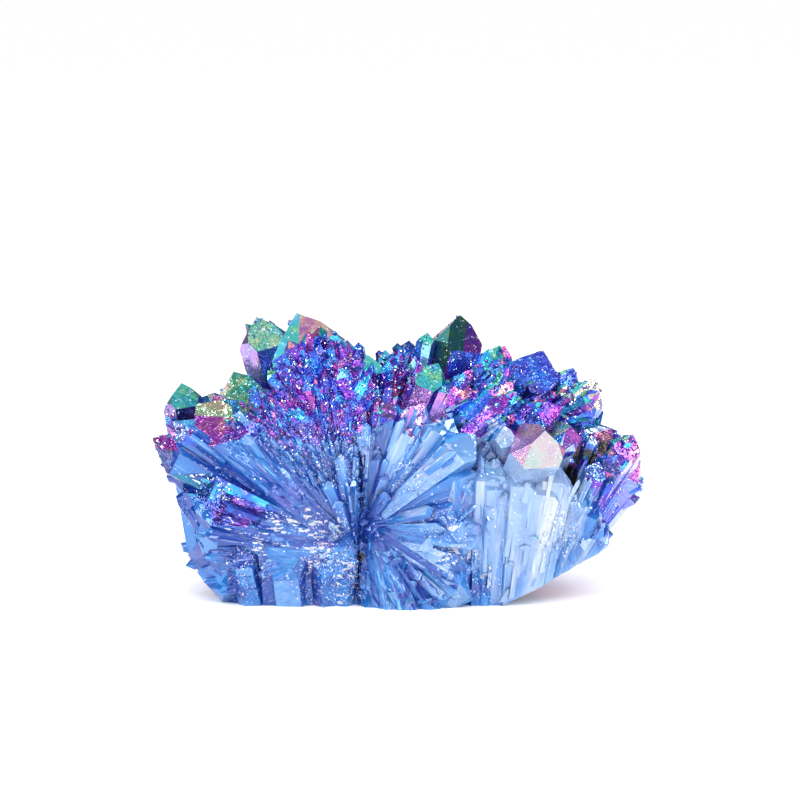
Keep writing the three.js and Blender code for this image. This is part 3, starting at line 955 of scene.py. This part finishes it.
row = add_node(hue, "ShaderNodeValToRGB", {"Fac": maths(hue, "FRACT", moved)})
row.color_ramp.interpolation = "B_SPLINE"
for place, _ in FILM_ROW[1:-1]:
    row.color_ramp.elements.new(place)
for stop, (place, colour) in zip(row.color_ramp.elements, FILM_ROW):
    stop.position = place
    stop.color = (*colour, 1)
lit_row = vector_maths(hue, "SCALE", row.outputs["Color"], attribute(hue, "shade"))
veiled = mixed(hue, attribute(hue, "veil"), lit_row, LILAC_VEIL)
hue.links.new(veiled, result["Color"])
print("film colours:", len(row.color_ramp.elements))

# %% [markdown]
# Streaks
#
# Streaks are veils and cracks in the quartz that run along the columns. All places on one ray from a growth
# centre have the same growth direction, so a noise that reads the direction instead of the place is drawn
# out along the rays by itself. It fades on faces that look along the growth, where the ends of the columns
# would show and not their sides.

# %% Streak group
RAY_LENGTH = 0.03


def along_growth(tree, shortness):
    """Coordinates that change quickly across the growth direction and slowly along it."""
    across = vector_maths(tree, "SCALE", attribute(tree, "growth", "Vector"), RAY_LENGTH)
    return vector_maths(tree, "ADD", across, vector_maths(tree, "SCALE", here(tree), shortness))


streaks, given, result = new_tree(
    "streaks", "ShaderNodeTree",
    inputs=numbers(Scale=900.0, Shortness=0.1), outputs=numbers(Streak=None),
)
drawn_out = noise(streaks, given["Scale"], detail=4.0, vector=along_growth(streaks, given["Shortness"]))
face_normal = add_node(streaks, "ShaderNodeNewGeometry").outputs["True Normal"]
facing_along = vector_maths(streaks, "DOT_PRODUCT", attribute(streaks, "growth", "Vector"), face_normal)
side_on = map_range(streaks, maths(streaks, "ABSOLUTE", facing_along), 0.7, 0.35)
swing = times(streaks, minus(streaks, drawn_out, 0.5), side_on)
streaks.links.new(plus(streaks, swing, 0.5), result["Streak"])
print("streak group:", len(streaks.nodes), "nodes")

# %% [markdown]
# Leaning cells
#
# Leaning cells stand for facets too small to model: each cell of a Voronoi texture tips the normal its own
# way. Drawn out along the growth they look like thin blades. Finer ones, as many as the sparkle attribute
# says, look like grains of druse. A few of these are painted white as glints, and where rows of glints are
# painted more of them, stretched into rows: painted highlights in the colour.

# %% Cells, their luck and their lean
cells, given, result = new_tree(
    "leaning_cells", "ShaderNodeTree",
    inputs=numbers(Scale=800.0, Shortness=0.25, Lean=0.3, Sparkle_scale=4400.0, Sparkle=0.5, Spared=0.7),
    outputs={"Normal": ("Vector", None), "Painted_glint": ("Float", None), "Glint": ("Color", None)},
)


def cell_colours(vector, scale):
    return add_node(cells, "ShaderNodeTexVoronoi", {"Vector": vector, "Scale": scale}).outputs["Color"]


def luck_of(colours):
    """One random number from 0 to 1 for each cell."""
    return add_node(cells, "ShaderNodeSeparateColor", {0: colours}).outputs[2]


def lean_of_cells(colours, amount):
    """A tilt that is the same over each cell."""
    lean = vector_maths(cells, "SUBTRACT", colours, (0.5, 0.5, 0.5))
    return vector_maths(cells, "SCALE", lean, amount)

# %% Tilt of the normal
sparkle = attribute(cells, "sparkle")
blade_cells = cell_colours(along_growth(cells, given["Shortness"]), given["Scale"])
grain_cells = cell_colours(here(cells), given["Sparkle scale"])
blades_lean = lean_of_cells(blade_cells, given["Lean"])
leaning_grain = maths(cells, "GREATER_THAN", luck_of(grain_cells), given["Spared"])
leaning_grain = times(cells, leaning_grain, maths(cells, "MINIMUM", sparkle, 1.0))
grains_lean = lean_of_cells(grain_cells, times(cells, given["Sparkle"], leaning_grain))
straight = add_node(cells, "ShaderNodeNewGeometry").outputs["Normal"]
tilted = vector_maths(cells, "ADD", vector_maths(cells, "ADD", straight, blades_lean), grains_lean)
cells.links.new(vector_maths(cells, "NORMALIZE", tilted), result["Normal"])
print("nodes that tilt:", len(cells.nodes))

# %% White specks: painted glints
DRUSE_GLINT_SHARE, GLINT_ROW_SHARE, GLINT_ROW_GRAIN = 0.08, 0.22, 0.6
GLINT_ROW_STRETCH = (0.4, 1, 1)
WHITE_GLINT = (1, 1, 1, 1)
GLINT_COLOUR = 0.3


def chosen_cells(cell_luck, amount, share):
    """1 in the luckiest cells, as many of them as the amount times the share says."""
    raised = plus(cells, cell_luck, times(cells, amount, share))
    return maths(cells, "GREATER_THAN", raised, 1.0)


in_rows = vector_maths(cells, "MULTIPLY", here(cells), GLINT_ROW_STRETCH)
glint_row_cells = cell_colours(in_rows, times(cells, given["Sparkle scale"], GLINT_ROW_GRAIN))
# White specks in the colour stand for glints: painted highlights.
druse_glint = chosen_cells(luck_of(grain_cells), sparkle, DRUSE_GLINT_SHARE)
glint_row_speck = chosen_cells(luck_of(glint_row_cells), attribute(cells, "painted_glint_rows"), GLINT_ROW_SHARE)
cells.links.new(maths(cells, "MAXIMUM", druse_glint, glint_row_speck), result["Painted_glint"])
cells.links.new(mixed(cells, GLINT_COLOUR, WHITE_GLINT, grain_cells), result["Glint"])
print("leaning cell group:", len(cells.nodes), "nodes")

# %% [markdown]
# Stains
#
# A few brown spots of iron sit on the right side and in the seam. They are only colour, so they are not
# modelled: each is a ball given as X, Y, Z and reach, with an edge made ragged by noise.

# %% Stain group
STAINED = (
    (31, -14, 23, 2.6), (31.5, -13, 19.5, 1.8), (33.5, -12, 26.5, 3.0), (36, -11, 27.5, 2.4),
    (-7, -17, 9, 1.2),
)
EDGE_SCALE = 700.0
EDGE_FROM, EDGE_FULL = 1.0, 0.7
stains, given, result = new_tree(
    "stains", "ShaderNodeTree",
    inputs=numbers(Ragged=0.6), outputs=numbers(Stain=None),
)
ragged = times(stains, minus(stains, noise(stains, EDGE_SCALE), 0.5), given["Ragged"])
stain = 0.0
for *place, reach in STAINED:
    away = vector_maths(stains, "DISTANCE", here(stains), tuple(side * MM for side in place))
    near = plus(stains, maths(stains, "DIVIDE", away, reach * MM), ragged)
    stain = maths(stains, "MAXIMUM", map_range(stains, near, EDGE_FROM, EDGE_FULL), stain)
stains.links.new(stain, result["Stain"])
print("shared groups:", [tree.name for tree in (hue, streaks, cells, stains)])

# %% [markdown]
# The coated points
#
# The film is a metal, but so thin that it does not look like one all the way: part of the light is thrown
# back in the film's colour, part is scattered below. A Principled shader at a middle Metallic gives both,
# and its own thin film adds a change of hue with the angle. Quartz faces are not quite flat: growth stopped
# in low terraces. A stepped noise draws them as bumps, and their rims as thin pale lines in the colour: a
# painted highlight where the rims would catch the light.

# %% Helpers for a whole finish
STAIN = (0.035, 0.025, 0.02, 1)
RIDGE_STRENGTH = 0.25


def principled(material, **values):
    """The tree and the shader of a material, constants set on the shader's own sockets."""
    material.use_nodes = True
    shader = material.node_tree.nodes["Principled BSDF"]
    for name, value in values.items():
        shader.inputs[name.replace("_", " ")].default_value = value
    return material.node_tree, shader


def placed_group(tree, group_tree, **values):
    return add_node(tree, "ShaderNodeGroup", values, node_tree=group_tree).outputs


def finish(tree, shader, colours, normal, ridges, ridge_height):
    """Stains the colours, and gives the shader its colour and its bumps."""
    stained = mixed(tree, placed_group(tree, stains)["Stain"], colours, STAIN)
    tree.links.new(stained, shader.inputs["Base Color"])
    bump = add_node(tree, "ShaderNodeBump", {
        "Strength": RIDGE_STRENGTH, "Distance": ridge_height, "Normal": normal, "Height": ridges})
    tree.links.new(bump.outputs[0], shader.inputs["Normal"])

# %% Coated finish
GLINT = (0.80, 0.93, 1.0, 1)
TERRACES, TERRACE_SCALE, STEP_HEIGHT = 8.0, 240.0, 0.5
RIM_WIDTH, RIMS_BELOW_SPARKLE = 0.05, 0.6
FILM_GLINTS = 0.7
tree, shader = principled(
    film, Metallic=0.75, Roughness=0.12, IOR=1.54, Thin_Film_Thickness=50.0, Thin_Film_IOR=1.9)
fine_facets = placed_group(tree, cells, Scale=900.0, Shortness=0.4, Lean=0.08, Sparkle=1.2, Spared=0.5)
colours = placed_group(tree, hue, Swing=0.5, Grain=0.22)["Color"]
# Painted highlights: white glint specks mixed into the colour.
colours = mixed(tree, times(tree, fine_facets["Painted_glint"], FILM_GLINTS), colours, fine_facets["Glint"])
steps = times(tree, noise(tree, TERRACE_SCALE, detail=1.0), TERRACES)
# Pale lines on the terrace rims are painted highlights.
rim_highlight = map_range(tree, maths(tree, "PINGPONG", steps, 0.5), RIM_WIDTH, 0.0)
smooth = maths(tree, "SUBTRACT", RIMS_BELOW_SPARKLE, attribute(tree, "sparkle"), clamp=True)
rim_highlight_seen = times(tree, times(tree, rim_highlight, smooth), attribute(tree, "shade"))
colours = mixed(tree, rim_highlight_seen, colours, GLINT)
fibres = placed_group(tree, streaks, Scale=1500.0, Shortness=0.2)["Streak"]
terraced = plus(tree, times(tree, maths(tree, "FLOOR", steps), STEP_HEIGHT), fibres)
finish(tree, shader, colours, fine_facets["Normal"], ridges=terraced, ridge_height=0.3 * MM)
print("coated finish:", len(tree.nodes), "nodes")

# %% [markdown]
# The milky quartz
#
# On the broken front the quartz itself shows: clear, but full of veils that make it milky, and blue from the
# film on everything behind it. Plain transmission with quartz's index of refraction lets light through. The
# rest is scattered at the surface, in a blue that pales to the right and along broad streaks, and is darkened
# in the hollows as painted shade. Thin white veils lie over it, and the sheaf has a haze with cream fibres,
# which are partly painted streak highlights. White specks in the colour are painted glints.

# %% Milky finish
DARK_BLUE = (0.01, 0.06, 0.40, 1)
BLUE = (0.02, 0.23, 0.68, 1)
PALE_BLUE = (0.24, 0.47, 0.79, 1)
WHITE_VEIL = (0.80, 0.88, 0.98, 1)
HAZE = (0.36, 0.48, 0.72, 1)
CREAM_FIBRE_SHEEN = (0.84, 0.85, 0.76, 1)
STREAK_SHARE, HOLLOW_SHADE_SHARE, PALER = 1.4, 0.9, 0.2
HAZE_SHARE, QUARTZ_GLINTS = 0.7, 0.85
TINT_SCALE = 180.0
tree, shader = principled(
    milk, Metallic=0.15, Roughness=0.05, Transmission_Weight=0.35, IOR=1.54, Thin_Film_Thickness=50.0,
    Thin_Film_IOR=1.75)
fine_facets = placed_group(tree, cells, Scale=700.0, Shortness=0.25, Lean=0.3, Sparkle=1.6, Spared=0.7)
broad = placed_group(tree, streaks, Scale=420.0, Shortness=0.2)["Streak"]
thin = placed_group(tree, streaks, Scale=1500.0, Shortness=0.06)["Streak"]
fibres = placed_group(tree, streaks, Scale=1500.0, Shortness=0.04)["Streak"]
pale = plus(tree, attribute(tree, "paleness"), times(tree, minus(tree, broad, 0.5), STREAK_SHARE))
# Painted shade: the blue is darker in the hollows.
pale = minus(tree, pale, times(tree, attribute(tree, "hollow_shade"), HOLLOW_SHADE_SHARE))
pale = plus(tree, pale, PALER)
in_pale = map_range(tree, attribute(tree, "paleness"), 0.4, 1.0)
blue = DARK_BLUE
for share, colour in (
    (map_range(tree, pale, -0.25, 0.35), BLUE),
    (map_range(tree, pale, 0.35, 1.0), PALE_BLUE),
    (map_range(tree, thin, 0.56, 0.8, high=0.4), WHITE_VEIL),
    (times(tree, in_pale, HAZE_SHARE), HAZE),
    # Cream fibres on the sheaf: partly fibres in the quartz, partly painted streak highlights.
    (times(tree, map_range(tree, fibres, 0.5, 0.66, high=0.7), in_pale), CREAM_FIBRE_SHEEN),
    (map_range(tree, noise(tree, TINT_SCALE), 0.55, 0.75, high=0.3),
     placed_group(tree, hue, Swing=0.3, Grain=0.1)["Color"]),
    # Painted highlights: white glint specks mixed into the colour.
    (times(tree, fine_facets["Painted_glint"], QUARTZ_GLINTS), fine_facets["Glint"]),
):
    blue = mixed(tree, share, blue, colour)
finish(tree, shader, blue, fine_facets["Normal"], ridges=thin, ridge_height=0.4 * MM)
print("milky finish:", len(tree.nodes), "nodes")

# %% [markdown]
# The table and the background
#
# The photograph has a white table that runs into a white background. A large pale plane without gloss and a
# white world do that. Facets only glitter if they have something dark to mirror as well, so rays that a
# facet mirrors see another sky, dim and blue, a little brighter overhead. The Standard view transform
# leaves white as white.

# %% Floor
FLOOR_REACH = 40
floor_mesh = bpy.data.meshes.new("floor")
floor_mesh.from_pydata([(x, y, 0) for x, y in ((-1, -1), (1, -1), (1, 1), (-1, 1))], [], [(0, 1, 2, 3)])
floor_mesh.transform(Matrix.Scale(FLOOR_REACH, 4))
floor = in_scene("floor", floor_mesh)
floor_finish = bpy.data.materials.new("white_table")
principled(floor_finish, Base_Color=(0.95, 0.95, 0.96, 1), Roughness=0.6, Specular_IOR_Level=0.0)
floor_mesh.materials.append(floor_finish)
print("floor reaches", FLOOR_REACH, "m from the piece")

# %% Sky
SKY_STRENGTH = 1.05
MIRRORED_SKY = (0.65, 0.78, 1.0, 1)
world = bpy.data.worlds.new("studio")
scene.world = world
world.use_nodes = True
sky = world.node_tree
seen = sky.nodes["Background"]
seen.inputs["Color"].default_value = (1, 1, 1, 1)
seen.inputs["Strength"].default_value = SKY_STRENGTH
looking = add_node(sky, "ShaderNodeTexCoord").outputs["Generated"]
direction = add_node(sky, "ShaderNodeSeparateXYZ", {0: looking})
strength = map_range(sky, direction.outputs["Z"], 0.1, 0.9, 0.06, 0.5)
mirrored = add_node(sky, "ShaderNodeBackground", {"Color": MIRRORED_SKY, "Strength": strength})
in_mirror = add_node(sky, "ShaderNodeLightPath").outputs["Is Glossy Ray"]
which = add_node(sky, "ShaderNodeMixShader", {0: in_mirror, 1: seen.outputs[0], 2: mirrored.outputs[0]})
sky.links.new(which.outputs[0], sky.nodes["World Output"].inputs["Surface"])
scene.view_settings.view_transform = "Standard"
print("sky:", len(sky.nodes), "nodes")

# %% [markdown]
# The lamps
#
# One large soft box hangs above and one stands at each side. Eleven small lamps on a dome in front give the
# single white glints that jump from facet to facet when the piece is turned. Sizes are in millimetres and
# powers in watts.

# %% Lamps
DOME_REACH = 480
DOME = {18: (-70, -42, -14, 14, 42, 70), 48: (-56, -28, 0, 28, 56)}
LIT_PLACE = Vector((0, 0, 25)) * MM


def on_dome(turn, rise):
    """A place on the dome, by its turn from the front and its rise over the table in degrees."""
    turn, rise = math.radians(turn), math.radians(rise)
    return DOME_REACH * np.array([
        math.sin(turn) * math.cos(rise), -math.cos(turn) * math.cos(rise), math.sin(rise)])


SOFT_BOXES = {
    "top": ((0, 40, 420), (400, 400), 0.55),
    "left": ((-380, -120, 200), (90, 200), 0.3),
    "right": ((380, -120, 220), (90, 200), 0.3),
} | {
    f"glint_{turn}_{rise}": (on_dome(turn, rise), (70, 70), 0.2)
    for rise, turns in DOME.items() for turn in turns
}
for name, (place, spread, power) in SOFT_BOXES.items():
    lamp = bpy.data.lights.new(name, "AREA")
    lamp.shape = "RECTANGLE"
    lamp.size, lamp.size_y = (side * MM for side in spread)
    lamp.energy = power
    box = in_scene(name, lamp)
    box.location = Vector(place) * MM
    box.rotation_euler = (LIT_PLACE - box.location).to_track_quat("-Z", "Y").to_euler()
print("soft boxes:", list(SOFT_BOXES))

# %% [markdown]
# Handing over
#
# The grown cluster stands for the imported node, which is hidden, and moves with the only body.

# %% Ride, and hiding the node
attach(cluster, "root")
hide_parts("quartz_cluster")
